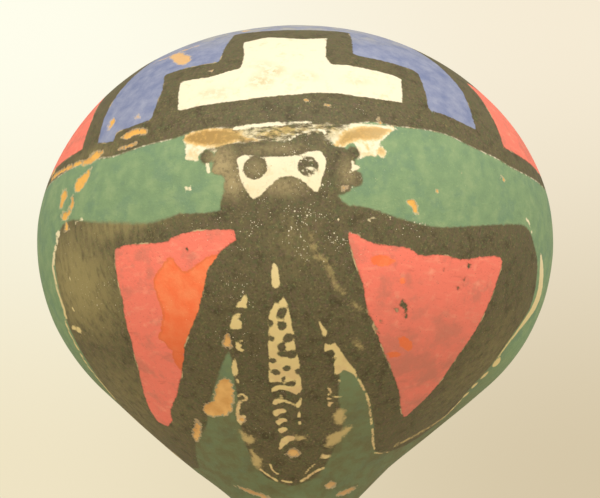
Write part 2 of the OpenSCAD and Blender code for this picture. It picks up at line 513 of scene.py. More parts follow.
def left_strip(chart):
    """The broken pale edge left of the tail."""
    triangle = chart.region([
        (-10.2, -20.2), (-9.9, -21.2), (-10.3, -22.8), (-11.2, -22.5), (-12.6, -22.6), (-12, -21.7),
        (-11, -21.2),
    ], corners=True)
    tooth = chart.region([
        (-13.3, -23.9), (-12.2, -23.6), (-11.7, -23.7), (-11.9, -24.3), (-12.9, -24.5), (-11.9, -25.1),
        (-12, -26.3), (-13.2, -26.6), (-14.9, -26.4), (-14.2, -25.1),
    ], corners=True)
    hook = chart.region([
        (-12.3, -28.4), (-14.3, -29), (-14.6, -30.3), (-13.1, -31), (-12.5, -30.5), (-13.4, -30),
        (-12.8, -29.6), (-13.6, -29.2), (-12.4, -28.9),
    ], corners=True)
    sliver = chart.region([(-15.8, -32.2), (-17.2, -34.4), (-17.5, -35.9), (-16, -35.6), (-15.4, -33.5)])
    curl = chart.line([(-18.3, -40.3), (-17, -39.9), (-15.9, -40.6), (-16.2, -41.3), (-17.4, -41.4)], 0.45)
    patch = chart.region([
        (-21, -44.6), (-17.2, -44.7), (-19.2, -46), (-20.8, -47), (-21.6, -46),
    ], corners=True)
    lines = chart.lines(
        (0.6, (-18.4, -41.6), (-19.6, -43), (-20.6, -44.5)),
        (0.45, (-20.5, -57.8), (-17.8, -59.3), (-12.6, -61)),
        (0.3, (-13.8, -56.7), (-13.2, -58.3), (-10.6, -59.3)),
        (0.5, (-9, -60.9), (-6, -61.2), (-2.8, -61.3)),
    )
    return union(triangle, tooth, hook, sliver, curl, patch, lines, chart.spots([(-16.8, -37, 0.3, 0.5)]))


def right_strip(chart):
    """The broken pale edge right of the tail."""
    triangle = chart.region([
        (4.9, -24.5), (6.2, -26), (7.5, -27.3), (6.8, -28.5), (6.5, -27.8), (5.6, -26.2),
    ], corners=True)
    fin = chart.region([
        (7, -29.2), (8.2, -29.7), (9.5, -29.2), (10.8, -30.3), (12.5, -31.9), (14.5, -33.5), (16.6, -35),
        (18.5, -37.2), (16.6, -35.9), (13.3, -34.8), (12.3, -35.9), (11.1, -35.9), (10.5, -34.3),
        (10.2, -33.2), (10.8, -32.2), (9.4, -32.3), (10.2, -31.4), (9, -30.5), (7.2, -31),
    ], corners=True)
    lines = chart.lines(
        (0.4, (10.3, -39), (11.3, -39.9), (10.6, -40.4)),
        (0.35, (10.7, -41.4), (12.8, -40.9), (14.9, -40.6)),
        (0.4, (12.5, -42.1), (11.5, -42.4), (11.9, -43)),
        (0.35, (11.5, -57), (9, -58), (7.2, -59)),
        (0.55, (17.5, -57.9), (13, -58.8), (8, -60.3), (4.5, -61)),
    )
    dabs = chart.spots([(12.8, -37.3, 0.25, 0.3), (16.8, -55.1, 0.9, 0.45, -10), (14.8, -54.6, 0.4, 0.3)])
    return union(triangle, fin, lines, dabs)


def wing_edging(chart):
    """Broken pale lines and dabs along the wings' outer edges."""
    flake = chart.region([
        (62.5, -7.3), (66, -8.8), (69, -11.2), (71.3, -13.6), (71.3, -16.3), (69.2, -19), (67, -21.6),
        (65.3, -24.8), (64.3, -24.6), (65.2, -22), (66.4, -19), (67.6, -16.4), (67.1, -13.4), (64.6, -10.4),
    ])
    left = chart.lines(
        (0.9, (-55.8, -4.8), (-57.6, -6.4), (-60.2, -8.4)),
        (1.1, (-60.6, -8.8), (-62.2, -10.5), (-62.9, -13.4), (-63.4, -17), (-64.6, -19)),
        (0.9, (-66.4, -19.6), (-68.2, -22), (-69.5, -25)),
        (0.8, (-70.2, -26), (-72, -28), (-74.5, -31.5), (-80, -36)),
        (0.4, (-61, -23), (-62.6, -23.6)),
        (0.35, (-54.4, -11.8), (-55.2, -13.6)),
    )
    right = chart.lines(
        (0.4, (60, -8.4), (60.3, -9.5), (60, -10.5)),
        (0.45, (53.2, -2.9), (55, -3.6), (56.4, -5)),
        (0.8, (64.6, -25), (65, -27.4)),
        (0.6, (70.5, -38.5), (73, -42.5)),
        (0.3, (57, -53.2), (51, -53.8), (45, -53.9)),
        (0.4, (43, -53), (38, -51), (33, -48)),
        (0.35, (31.5, -47), (27, -43.4), (22.5, -39.8)),
        (0.4, (21.6, -39.2), (18.4, -36.8)),
    )
    return union(flake, left, right, chart.spots([
        (-61.3, -22.2, 0.9, 0.6), (-63.4, -21.4, 0.9, 0.5), (-59, -18.5, 0.35, 0.5), (-48.5, -4.6, 0.5, 0.3),
        (-46.5, -4.4, 0.45, 0.3), (-57.5, -5, 0.5, 0.3), (67, -28.6, 1.5, 1.0), (67.2, -31.8, 0.7, 1.1),
        (68, -34.5, 0.7, 0.9), (69.5, -37, 0.6, 0.8),
    ]))


def ochre_left(chart):
    return chart.region([
        (-21.5, 6.3), (-20, 7.2), (-15.8, 7.6), (-11.2, 6.9), (-9.2, 5.3), (-6, 4.3), (-8.2, 4.2),
        (-11, 4.4), (-13, 3.9), (-15, 3.7), (-17, 4), (-19, 4.5), (-21, 5.3),
    ])


def ochre_right(chart):
    return chart.region([
        (6.8, 3.7), (8, 4.7), (8.8, 6.2), (10.8, 7), (12.2, 7.5), (15.2, 8), (18.8, 7.8), (17, 5.8),
        (15.8, 5), (12, 4.6), (10.2, 4.1), (8.8, 3.4),
    ])


def orange_dab(chart):
    return chart.spot(16.1, 3, 0.8, 0.95)


def head_patches(chart):
    """The pale ground left bare on both sides of the head and under the band."""
    left = chart.region([
        (-20.9, 5.4), (-20.8, 2.2), (-19.3, 1.8), (-17.9, 1.7), (-18.1, 2.5), (-16.7, 3.6), (-15.5, 3.2),
        (-15, 2.8), (-13.3, 3.8), (-12, 5), (-16, 5.6),
    ], corners=True)
    right = chart.region([
        (9, 4.6), (11.4, 4.2), (11.7, 2.3), (11.4, 1.4), (12.3, 1.5), (12.8, 2.1), (15.2, 2), (15.2, 2.9),
        (15.6, 3.7), (16, 5), (18.8, 7.2), (19.2, 8), (10, 7.8),
    ], corners=True)
    middle = chart.region([(-12, 4), (9, 4.3), (10, 8), (-12, 7.6)], corners=True)
    return union(left, right, middle, ochre_left(chart), ochre_right(chart), orange_dab(chart))


def head_smears(chart):
    """Ochre wash over the ground round the head."""
    dabs = chart.spots([(-4, 5.6, 2.2, 0.6, -10), (-1.6, 6.4, 1.4, 0.9), (13.4, 3.6, 0.35, 0.5)])
    return union(ochre_left(chart), ochre_right(chart), orange_dab(chart), dabs)


def small_lights(chart):
    """Pale lines under the band, and small pale dabs round the head."""
    star = chart.region([
        (10.1, 1.1), (10.7, 1.2), (10.9, 0.5), (11.9, 0.1), (11.2, -0.4), (10.4, -0.6), (9.9, -0.8),
        (10.3, 0),
    ], corners=True)
    return union(
        star,
        chart.lines(
            (0.7, (-11.2, 7), (-8.5, 7.2), (-5, 7.3), (-2, 7.4)),
            (0.3, (-2, 7.4), (0.5, 7.7), (3, 7.8)),
            (0.35, (-1.2, 4.5), (1, 5.7), (3.2, 6.3), (5.5, 6.5)),
            (0.4, (10.5, 7.6), (14.2, 8), (17.2, 7.8), (19.6, 7.6)),
            (0.2, (11.7, -1.3), (12, -1.7), (11.7, -2.1)),
            (0.25, (-19.6, -2.4), (-20.4, -3.3)),
            (0.25, (-20.6, -2.6), (-19.5, -3.2)),
            (0.6, (-16.3, 0.9), (-16, -0.4)),
        ),
        chart.spots([
            (5.5, 6.1, 0.3, 0.4), (13.8, -8.4, 0.3, 0.25), (14.7, -8, 0.3, 0.2), (18, -7.8, 0.25, 0.2),
            (8, -8.5, 0.2, 0.2),
        ]),
    )


def scrapes(chart):
    """Thin rubs and old dabs of ochre that show through the black."""
    dabs = chart.regions(
        [(-23, -48.2), (-21, -48.3), (-20.3, -49.5), (-17.8, -49.4), (-18.2, -50.6), (-21.5, -51.3)],
        [(-21, -52.8), (-19.8, -54), (-17.6, -55.6), (-19.6, -57.4), (-22.4, -57.2), (-22.4, -54.7)],
        [(14, -50.2), (17, -49.2), (20.5, -48), (23, -47.4), (22.5, -49), (20, -51.6), (15.5, -52.6)],
        [(15.2, -43.6), (17.5, -44), (19, -46.7), (17, -47), (14.6, -46)],
    )
    rubs = chart.lines(
        (0.5, (3, -11), (4, -14.1), (6, -15.2), (8, -18.9), (10, -20.1)),
        (0.7, (73, -43), (69, -46), (62, -49.6), (57, -51.4)),
        (1.2, (-84, -40), (-88, -46), (-84, -52)),
    )
    specks = chart.spots([(13, -22.4, 0.8, 0.4, 30), (15.5, -29.5, 0.8, 0.3, 40), (1.8, -50.5, 1.0, 0.5)])
    return union(dabs, rubs, specks)


def band_chips(chart):
    """Flakes off the band's left end, and the blue block above it."""
    flakes = chart.regions(
        [
            (-34.6, 29.2), (-31.5, 26.8), (-28.5, 25.2), (-26.9, 25.6), (-26.9, 27.2), (-28.5, 28.9),
            (-31, 30), (-33, 31.6), (-36.5, 32.4), (-37, 31),
        ],
        [(-36.8, 9), (-35, 9.9), (-32.4, 9.7), (-30.3, 9.2), (-30.6, 8.3), (-33, 8.6), (-35.6, 8.2)],
        [(-43, 7.4), (-43.4, 6), (-46, 5.3), (-48, 5.8), (-46, 6.6), (-44.4, 7.6)],
    )
    strips = chart.lines(
        (0.65, (-43, 30.7), (-38.5, 31.6), (-35, 33), (-30, 33.8)),
        (0.45, (-37, 6.7), (-34.6, 6.6), (-32.4, 6.9)),
        (0.8, (-47, 6.1), (-53, 6.6), (-59, 7), (-64.5, 7)),
    )
    return union(flakes, strips, chart.spots([
        (-66, 8.6, 2.2, 0.6), (-42, 12.8, 0.75, 1.3, 15), (-34, 12.5, 0.6, 0.45, 30), (-18, 42, 0.8, 1.0),
        (-19, 21.3, 0.3, 0.3), (6.2, 11.1, 0.35, 0.25), (2.2, 12.2, 0.3, 0.25),
    ]))


def green_chips(chart):
    """Flakes off the green at the left of the head and right of it."""
    flakes = chart.regions(
        [(-44.5, 4.7), (-46, 3.9), (-49, 3.3), (-50, 2), (-49.5, 1), (-48, 0.7), (-46, 1.6), (-45, 3)],
        [(-54.6, 2.2), (-53, 2.4), (-52.3, 0.7), (-53.6, 0.1), (-54, -0.9), (-55.8, -0.9), (-55.5, 0.8)],
        [
            (-50.4, 0.4), (-49.8, 0.4), (-49.6, -1.4), (-51, -2.6), (-52.4, -3.4), (-54.8, -3.2), (-54.8, -2),
            (-53.4, -1.8), (-52.4, -2.2), (-51.2, -1.4),
        ],
        [(-52.8, -3.8), (-51.9, -4.4), (-51.7, -5.4), (-54, -5.2), (-53, -4.8)],
        [(-42.2, 7.6), (-41.5, 6.9), (-43.5, 5.6), (-45, 5.4), (-45, 6.2), (-43.6, 6.9)],
        [(20.8, -4.6), (22.3, -4.4), (23.2, -5.3), (23.4, -6.6), (22.8, -6.7), (22, -5.7)],
        corners=True,
    )
    return union(flakes, chart.spots([
        (9, -3.5, 0.45, 0.3, -30), (45, 2.6, 0.5, 0.4), (16.2, 8.5, 0.15, 0.6), (27.5, -2.5, 0.25, 0.25),
        (33, 1.5, 0.2, 0.3),
    ]))


def low_chips(chart):
    """Flakes round the tail and on the cone."""
    flakes = chart.regions(
        [
            (-19.2, -36.7), (-19.2, -38.7), (-20.5, -41.3), (-23, -44), (-25.5, -44.4), (-29.5, -44.6),
            (-32.5, -43.3), (-30.8, -41.7), (-27.2, -41.1), (-24.8, -38.9), (-22.8, -37.1), (-20.8, -36.3),
        ],
        [(-37.6, -44.6), (-38.6, -46.4), (-43, -48.8), (-47, -49.8), (-47, -48.6), (-42, -46.6)],
        [(-15.6, -27.2), (-16.6, -28), (-17.4, -29.4), (-16.4, -29.9), (-15.4, -29.6)],
    )
    return union(flakes, chart.spots([
        (27.5, -62.2, 0.9, 0.9), (48, -63.5, 2.0, 0.7, -30), (-36, -64, 3.0, 0.5, 30),
        (-0.9, -54.2, 1.15, 0.95), (-19.4, -45.6, 0.6, 0.5),
    ]))


def chips(chart):
    """Where paint and ground have flaked off down to the gourd, at the front."""
    return union(band_chips(chart), green_chips(chart), low_chips(chart))


def back_chips(chart):
    return union(
        chart.region([(14, -40), (19, -41), (21, -45), (17, -48), (13, -45)]),
        chart.spots([
            (-30, 2, 1.2, 0.8), (-33, 1, 0.7, 1.3), (38, 14, 1.5, 1), (40, 26, 1, 1.6), (62, -2, 1.2, 0.7),
            (-58, -50, 2.4, 0.8, 30), (5, -64, 3, 0.7), (-12, 1, 0.8, 0.5), (50, -30, 0.8, 1.4),
        ]),
    )


def faded(chart):
    """How far the black has faded, from 0 to 1."""
    return chart.glows(
        (1, -53, -15, 20, 17), (0.45, -66, -36, 24, 20), (0.35, 60, -30, 12, 24), (0.3, 0, -12, 6, 8),
        (0.7, -38, -7, 20, 5), (0.5, -45, 7, 12, 3),
    )


def hazy(chart):
    """Where a pale brown haze lies over the black beside the mask, from 0 to 1."""
    return chart.glows(
        (1, -13.4, 0.4, 4, 5.4), (0.85, -11.4, -2.4, 3.4, 4.4), (0.5, 9.5, -1, 2.4, 4),
        (0.6, -2, -3.4, 7, 2.6), (0.4, -3, 2.8, 10, 1.8), (0.5, -7.3, -0.2, 2.6, 2.6),
    )


def flecked(chart):
    """How thickly the pale flecks lie, from 0 to 1."""
    return chart.glows(
        (1, 1, -2, 24, 17), (1, 2, -10, 26, 12), (0.8, -6, 3, 12, 5), (0.7, -18, -9, 14, 6),
        (0.75, -13, -24, 10, 22), (0.6, 24, -9, 16, 6), (0.5, -10, -45, 16, 22), (0.55, 5, 10.5, 34, 7),
        (0.6, -50, -16, 24, 24), (0.45, -30, 12, 14, 10), (0.4, 55, -16, 16, 14), (0.4, 10, -30, 14, 20),
        (0.3, -34, 0, 26, 9), (0.3, 30, 1, 22, 9), (0.3, -28, -24, 26, 22),
    )


def scumbled(chart):
    """Where the black is dragged thinly over the ground, from 0 to 1."""
    return chart.glows((1, -2, 6, 13, 2.8), (0.8, 6, 6.5, 6, 3.2), (0.5, -13, 3, 4, 3))


SOFT_FIELDS = ("stain", "faded", "haze", "speckle", "scumble")


def figure_fields(chart, chip_field):
    """The paint fields of one figure, by name."""
    green = without(chart.below(BAND_EDGE), head_patches(chart))
    dark = union(-chart.below(BAND_EDGE), wings(chart), body_and_head(chart), tail(chart))
    pale = union(
        stepped_block(chart), without(mask(chart), eyes(chart)), stripe(chart), left_strip(chart),
        right_strip(chart), wing_edging(chart), small_lights(chart),
    )
    return {
        "green": green,
        "dark": dark,
        "scrape": scrapes(chart),
        "red": union(wing_panels(chart), red_steps(chart)),
        "wash": wing_washes(chart),
        "blue": blue_parts(chart),
        "pale": pale,
        "smear": head_smears(chart),
        "chip": chip_field(chart),
        "stain": block_stains(chart),
        "faded": faded(chart),
        "haze": hazy(chart),
        "speckle": flecked(chart),
        "scumble": scumbled(chart),
    }


# ---------------------------------------------------------------- the gourd

FINE_HALF = 25.0
FINE_STEP = 0.5
COARSE_STEP = 1.2
DOME_STEP = 1.0
FIGURE_STEP = 0.45
FIGURE_TOP = 10
FIGURE_BOTTOM = -66
NECK_ROWS = 14
INSIDE_STEP = 5.5
SHAKE = 0.22
CHIP_DEPTH = 0.16
SCAR_DEPTH = 0.9
SCAR_R = 2.2

# The gourd isn't quite round. Each row is degrees, then up, half width, half height and swelling in mm.
SWELLINGS = [
    (-78, -48, 30, 17, 0.75), (78, -58, 30, 13, -0.75), (-5, 48, 22, 20, -0.5), (-80, 18, 16, 12, -0.35),
    (80, 30, 12, 8, -0.25),
]


def gourd_columns():
    """Degrees of the vertex columns, which are closer at the front."""
    fine = np.arange(-FINE_HALF, FINE_HALF, FINE_STEP)
    count = int((360 - 2 * FINE_HALF) / COARSE_STEP)
    return np.r_[fine, np.linspace(FINE_HALF, 360 - FINE_HALF, count, endpoint=False)]


def gourd_rows(outline):
    """Lengths of the outside's vertex rows, which are closer where the figure is."""
    dome_rows = np.arange(outline.top - 0.8, FIGURE_TOP, -DOME_STEP)
    figure_rows = np.arange(FIGURE_TOP, FIGURE_BOTTOM, -FIGURE_STEP)
    neck_rows = np.linspace(FIGURE_BOTTOM - 0.4, outline.bottom, NECK_ROWS)
    return np.r_[dome_rows, figure_rows, neck_rows]


def turned_points(degrees, r, z):
    """Points of rings with radii r and heights z, row by row."""
    angle = np.radians(degrees)
    x, y = np.outer(r, np.sin(angle)), np.outer(r, -np.cos(angle))
    return np.stack([x, y, np.repeat(z[:, None], len(angle), axis=1)], axis=-1).reshape(-1, 3)


def paint_fields(degrees, up, radius, points):
    """Both figures' fields on the outside. The back one is the front one, painted again by hand."""
    made = {}
    for start, facing, chip_field in ((3.0, 0.0, chips), (11.0, 180.0, back_chips)):
        size = SHAKE if facing == 0 else 3 * SHAKE
        shake = [size * noise_at(points, 7.0, start + k) for k in (0, 1)]
        fields = figure_fields(Chart(degrees, up, radius, facing, shake), chip_field)
        for name, field in fields.items():
            if name in ("green", "dark", "blue") and name in made:
                front = np.cos(np.radians(degrees)) > 0
                made[name] = np.where(front, made[name], field)
            else:
                made[name] = union(made[name], field) if name in made else field
    return made


def gourd_shell(paint, inside):
    """The gourd: its painted outside, its neck and its bare inside, as one closed mesh."""
    outline = Outline()
    degrees, up = gourd_columns(), gourd_rows(outline)
    r, z, normal_r, normal_z = outline.at(up)
    outer = turned_points(degrees, r, z)
    normal = turned_points(degrees, normal_r, normal_z)
    all_degrees = np.tile(degrees, len(up))
    all_up = np.repeat(up, len(degrees))
    all_r = np.repeat(r, len(degrees))
    fields = paint_fields(all_degrees, all_up, all_r, outer)

    front = Chart(all_degrees, all_up, all_r, 0, (0, 0))
    lumps = 0.14 * noise_at(outer, 26, 1) + 0.05 * noise_at(outer, 6, 5)
    for row in SWELLINGS:
        lumps = lumps + front.swelling(*row)
    chip_depth = CHIP_DEPTH * np.clip(fields["chip"] / 0.4, 0, 1)
    scar = -SCAR_DEPTH * np.exp(-((outline.top - all_up) / SCAR_R) ** 2)
    fixed = np.clip((outer[:, 2] - CORNER_Z) / 6, 0.15, 1)
    outer = outer + normal * ((lumps + scar) * fixed - chip_depth)[:, None]

    wall = resample(inner_line(), INSIDE_STEP)[:-1]
    inner = turned_points(degrees, wall[:, 0], wall[:, 1])
    crown = [(0, 0, CROWN_Z - SCAR_DEPTH), (0, 0, CROWN_Z - WALL)]
    vertices = np.r_[crown[:1], outer, inner, crown[1:]]
    rows = len(up) + len(wall)
    shell = mesh_object("gourd", vertices, ring_faces(rows, len(degrees)), paint, sharp=50)
    shell.data.materials.append(inside)
    first_inner = 1 + len(outer)
    for polygon in shell.data.polygons:
        if max(polygon.vertices) >= first_inner:
            polygon.material_index = 1
    for name, field in fields.items():
        edge = np.full(len(vertices), 0.0 if name in SOFT_FIELDS else -FAR)
        edge[1:first_inner] = field
        edge[0] = field[0]
        layer = shell.data.attributes.new(name, "FLOAT", "POINT")
        layer.data.foreach_set("value", edge.astype(np.float32))
    finish_piece(shell, "maraca", "painted_gourd", "gourd_shell")


# ---------------------------------------------------------------- material helpers


class Tree:
    """A node tree, with short calls that add a node and return its output."""

    def __init__(self, owner):
        owner.use_nodes = True
        self.tree = owner.node_tree
        self.tree.nodes.clear()

    def add(self, kind, inputs=(), **settings):
        node = self.tree.nodes.new("ShaderNode" + kind)
        for name, value in settings.items():
            setattr(node, name, value)
        for key, value in dict(inputs).items():
            if isinstance(value, bpy.types.NodeSocket):
                self.tree.links.new(value, node.inputs[key])
            else:
                node.inputs[key].default_value = value
        return node

    def math(self, operation, a, b=0.0):
        return self.add("Math", {0: a, 1: b}, operation=operation).outputs[0]

    def plus(self, a, b):
        return self.math("ADD", a, b)

    def times(self, a, b):
        return self.math("MULTIPLY", a, b)

    def scaled(self, vector, scale):
        """The vector times a number, or times a different number each way."""
        factor = scale if isinstance(scale, tuple) else (scale, scale, scale)
        return self.add("VectorMath", {0: vector, 1: factor}, operation="MULTIPLY").outputs[0]

    def noise(self, scale, detail=3.0, rough=0.55, warp=0.0):
        """Noise from 0 to 1, with features about 1/scale mm across. The scale may differ each way."""
        where, size = (self.scaled(self.mm, scale), 1.0) if isinstance(scale, tuple) else (self.mm, scale)
        node = self.add("TexNoise", {
            "Vector": where, "Scale": size, "Detail": detail, "Roughness": rough, "Distortion": warp,
        })
        return node.outputs["Fac"]

    def speckles(self, scale, weight, largest, where=None):
        """Dots, one to a cell, more and bigger as weight grows; largest is a share of a cell."""
        where = self.mm if where is None else where
        cell = self.add("TexVoronoi", {"Vector": where, "Scale": scale, "Randomness": 1.0})
        chance = self.add("SeparateColor", {0: cell.outputs["Color"]}).outputs[0]
        radius = self.times(self.plus(chance, self.plus(weight, -1.0)), largest)
        gap = self.math("SUBTRACT", radius, cell.outputs["Distance"])
        return self.between(gap, -0.02, 0.04)

    def field(self, name):
        return self.add("Attribute", attribute_name=name).outputs["Fac"]

    def between(self, value, low, high, to_low=0.0, to_high=1.0):
        """A smooth step from to_low to to_high as the value goes from low to high."""
        node = self.add("MapRange", {
            "Value": value, "From Min": low, "From Max": high, "To Min": to_low, "To Max": to_high,
        }, interpolation_type="SMOOTHSTEP")
        return node.outputs[0]

    def mix(self, factor, a, b):
        """From colour a to colour b, each a node's output or (r, g, b)."""
        ends = {
            key: colour if isinstance(colour, bpy.types.NodeSocket) else (*colour, 1)
            for key, colour in ((6, a), (7, b))
        }
        return self.add("Mix", {0: factor, **ends}, data_type="RGBA").outputs[2]

    def lay(self, colour, paint, value, low, high, most):
        """Paint over the colour, from none where the value is low to a share of most where it is high."""
        return self.mix(self.between(value, low, high, 0, most), colour, paint)

    def tones(self, value, *stops):
        """Colours at places along a value from 0 to 1, each stop as (place, (r, g, b))."""
        node = self.add("ValToRGB", {0: value})
        ramp = node.color_ramp
        while len(ramp.elements) < len(stops):
            ramp.elements.new(0.5)
        for element, (place, colour) in zip(ramp.elements, stops):
            element.position = place
            element.color = (*colour, 1)
        return node.outputs[0]

    def surface(self, colour, roughness, height, specular=0.35):
        """The material's end: colour, roughness and a height in mm, as bump."""
        bump = self.add("Bump", {"Height": height, "Distance": MM, "Strength": 1.0})
        shader = self.add("BsdfPrincipled", {
            "Base Color": colour, "Roughness": roughness, "Specular IOR Level": specular,
            "Normal": bump.outputs[0],
        })
        self.add("OutputMaterial", {0: shader.outputs[0]})


def new_material(name):
    """A material and its tree, where t.mm is the place on the object in mm."""
    material = bpy.data.materials.new(name)
    t = Tree(material)
    t.mm = t.scaled(t.add("TexCoord").outputs["Object"], 1 / MM)
    return material, t


# ---------------------------------------------------------------- materials

CREAM = (0.87, 0.825, 0.69)
CREAM_WARM = (0.76, 0.62, 0.38)
CREAM_SHADED = (0.74, 0.61, 0.30)
CREAM_TAN = (0.66, 0.47, 0.27)
STAIN = (0.50, 0.42, 0.18)
GREEN = (0.205, 0.33, 0.19)
GREEN_DARK = (0.165, 0.275, 0.17)
GREEN_PALE = (0.33, 0.44, 0.25)
GREEN_BLUE = (0.145, 0.26, 0.185)
GREEN_SCRATCH = (0.46, 0.56, 0.32)
GRIME = (0.13, 0.115, 0.055)
RED = (0.89, 0.215, 0.17)
RED_DEEP = (0.60, 0.12, 0.09)
RED_PALE = (0.92, 0.36, 0.27)
RED_DUSTY = (0.56, 0.19, 0.15)
ORANGE = (0.92, 0.19, 0.075)
ORANGE_DEEP = (0.70, 0.15, 0.055)
ORANGE_PALE = (0.93, 0.27, 0.125)
BLUE = (0.175, 0.22, 0.43)
BLUE_PALE = (0.33, 0.37, 0.56)
BLUE_WORN = (0.50, 0.49, 0.40)
DARK = (0.118, 0.104, 0.058)
DARK_DEEP = (0.060, 0.052, 0.028)
DARK_GREEN = (0.088, 0.106, 0.052)
DARK_PURPLE = (0.140, 0.100, 0.078)
DARK_FADED = (0.30, 0.26, 0.125)
HAZE = (0.38, 0.315, 0.18)
RUBBED = (0.62, 0.49, 0.24)
OCHRE = (0.38, 0.245, 0.085)
OCHRE_MID = (0.60, 0.38, 0.13)
OCHRE_PALE = (0.86, 0.56, 0.22)
OLIVE = (0.44, 0.37, 0.16)
GOURD = (0.66, 0.36, 0.125)
GOURD_PALE = (0.82, 0.52, 0.21)
GOURD_LIT = (0.86, 0.47, 0.09)
GOURD_PEACH = (0.72, 0.47, 0.25)
GOURD_SHADED = (0.50, 0.34, 0.20)
CHIP_RIM = (0.82, 0.64, 0.44)
FIBRE_DARK = (0.24, 0.13, 0.05)
FIBRE = (0.48, 0.31, 0.15)
FIBRE_PALE = (0.66, 0.50, 0.30)
FIBRE_BLOTCH = (0.30, 0.18, 0.08)
WOOD_PALE = (0.56, 0.36, 0.18)
WOOD = (0.42, 0.235, 0.10)
WOOD_DARK = (0.22, 0.105, 0.04)
WOOD_HELD = (0.26, 0.13, 0.055)
WOOD_GRIME = (0.16, 0.10, 0.05)
PUTTY_DARK = (0.23, 0.15, 0.07)
PUTTY = (0.46, 0.35, 0.19)
PUTTY_PALE = (0.64, 0.54, 0.34)
PUTTY_BLOTCH = (0.20, 0.15, 0.08)
PEG_DARK = (0.27, 0.15, 0.06)
PEG_PALE = (0.62, 0.44, 0.24)
HUSK_DARK = (0.05, 0.025, 0.012)
HUSK = (0.16, 0.075, 0.03)
HUSK_PALE = (0.34, 0.19, 0.08)
HUSK_DUST = (0.42, 0.33, 0.22)

# cells per mm, and the largest fleck as a share of a cell
FLECK_SIZES = [(1.1, 0.38), (2.1, 0.5), (3.6, 0.6)]


